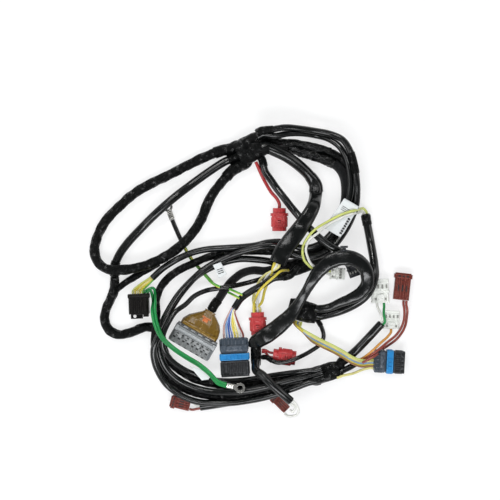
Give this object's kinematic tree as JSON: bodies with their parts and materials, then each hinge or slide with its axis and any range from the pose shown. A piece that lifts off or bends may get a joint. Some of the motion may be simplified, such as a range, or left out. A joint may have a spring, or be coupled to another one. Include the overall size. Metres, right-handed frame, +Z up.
{
  "type": "vehicle wiring harness",
  "caption": "Coiled vehicle wiring harness: black sheathed and taped looms with sealed plugs, blue-banded plugs, a control unit plug, relay holder and ring terminals.",
  "frame": {"origin": "middle of the footprint, on the surface that the harness lies on", "axes": "+Z up from the surface, +X along the harness's longer side, towards the side with the white plugs"},
  "size_m": [0.323, 0.2903, 0.0397],
  "materials": {
    "sheath": "satin black sleeving",
    "tape": "matt black cloth tape",
    "braid": "black braid",
    "black_housing": "fine moulded black",
    "grey_cap": "dark grey moulded",
    "blue_lock": "blue moulded",
    "unit_grey": "light grey moulded",
    "lever_grey": "pale grey moulded",
    "amber": "amber, slightly clear",
    "maroon": "maroon moulded",
    "white_nylon": "natural white nylon",
    "red_housing": "red moulded",
    "tinned_copper": "tinned, dull bright",
    "wire_white": "white insulation",
    "wire_red": "red insulation",
    "wire_lime": "yellow-green insulation",
    "wire_yellow": "yellow insulation",
    "wire_green": "green insulation",
    "wire_brown": "red-brown insulation"
  },
  "bodies": {
    "root": {"inner_sheath": "sheath", "relay_sheath": "sheath", "middle_sheath": "sheath", "long_sheath": "sheath", "small_inner_sheath": "sheath", "lower_open_sheath": "sheath", "end_sheath": "sheath", "cross_sheath": "sheath", "maroon_sheath": "sheath", "right_riser": "sheath", "diagonal_sheath": "sheath", "thick_loom": "sheath", "front_sheath": "sheath", "small_lead": "sheath", "ring_lead_upper": "sheath", "left_taped_loom": "tape", "outer_trunk": "tape", "taped_sheath": "tape", "flat_loop": "tape", "top_joint": "tape", "centre_joint": "tape", "lower_joint": "tape", "right_joint": "tape", "branch_joint": "tape", "trunk_braid": "braid", "unit_loom": "braid", "front_connector_shell": "black_housing", "side_connector_shell": "black_housing", "black_connector": "black_housing", "relay_holder": "black_housing", "front_connector_cap": "grey_cap", "side_connector_cap": "grey_cap", "front_connector_lock": "blue_lock", "side_connector_lock": "blue_lock", "unit_connector_body": "unit_grey", "unit_connector_lever": "lever_grey", "unit_connector_hood": "amber", "maroon_connector_right": "maroon", "maroon_connector_lower": "maroon", "maroon_connector_left": "maroon", "white_connector_upper": "white_nylon", "white_connector_lower": "white_nylon", "white_connector_inner": "white_nylon", "red_connector_upper": "red_housing", "red_connector_middle": "red_housing", "red_connector_lower": "red_housing", "ring_terminal_upper": "tinned_copper", "ring_terminal_lower": "tinned_copper", "left_leads": "wire_white", "end_leads": "wire_white", "lower_red_leads": "wire_red", "upper_red_lead": "wire_red", "white_leads": "wire_lime", "riser_leads": "wire_lime", "signal_leads": "wire_lime", "relay_leads": "wire_yellow", "middle_leads": "wire_yellow", "front_leads": "wire_yellow", "green_leads": "wire_green", "maroon_leads": "wire_brown"}
  },
  "joints": []
}
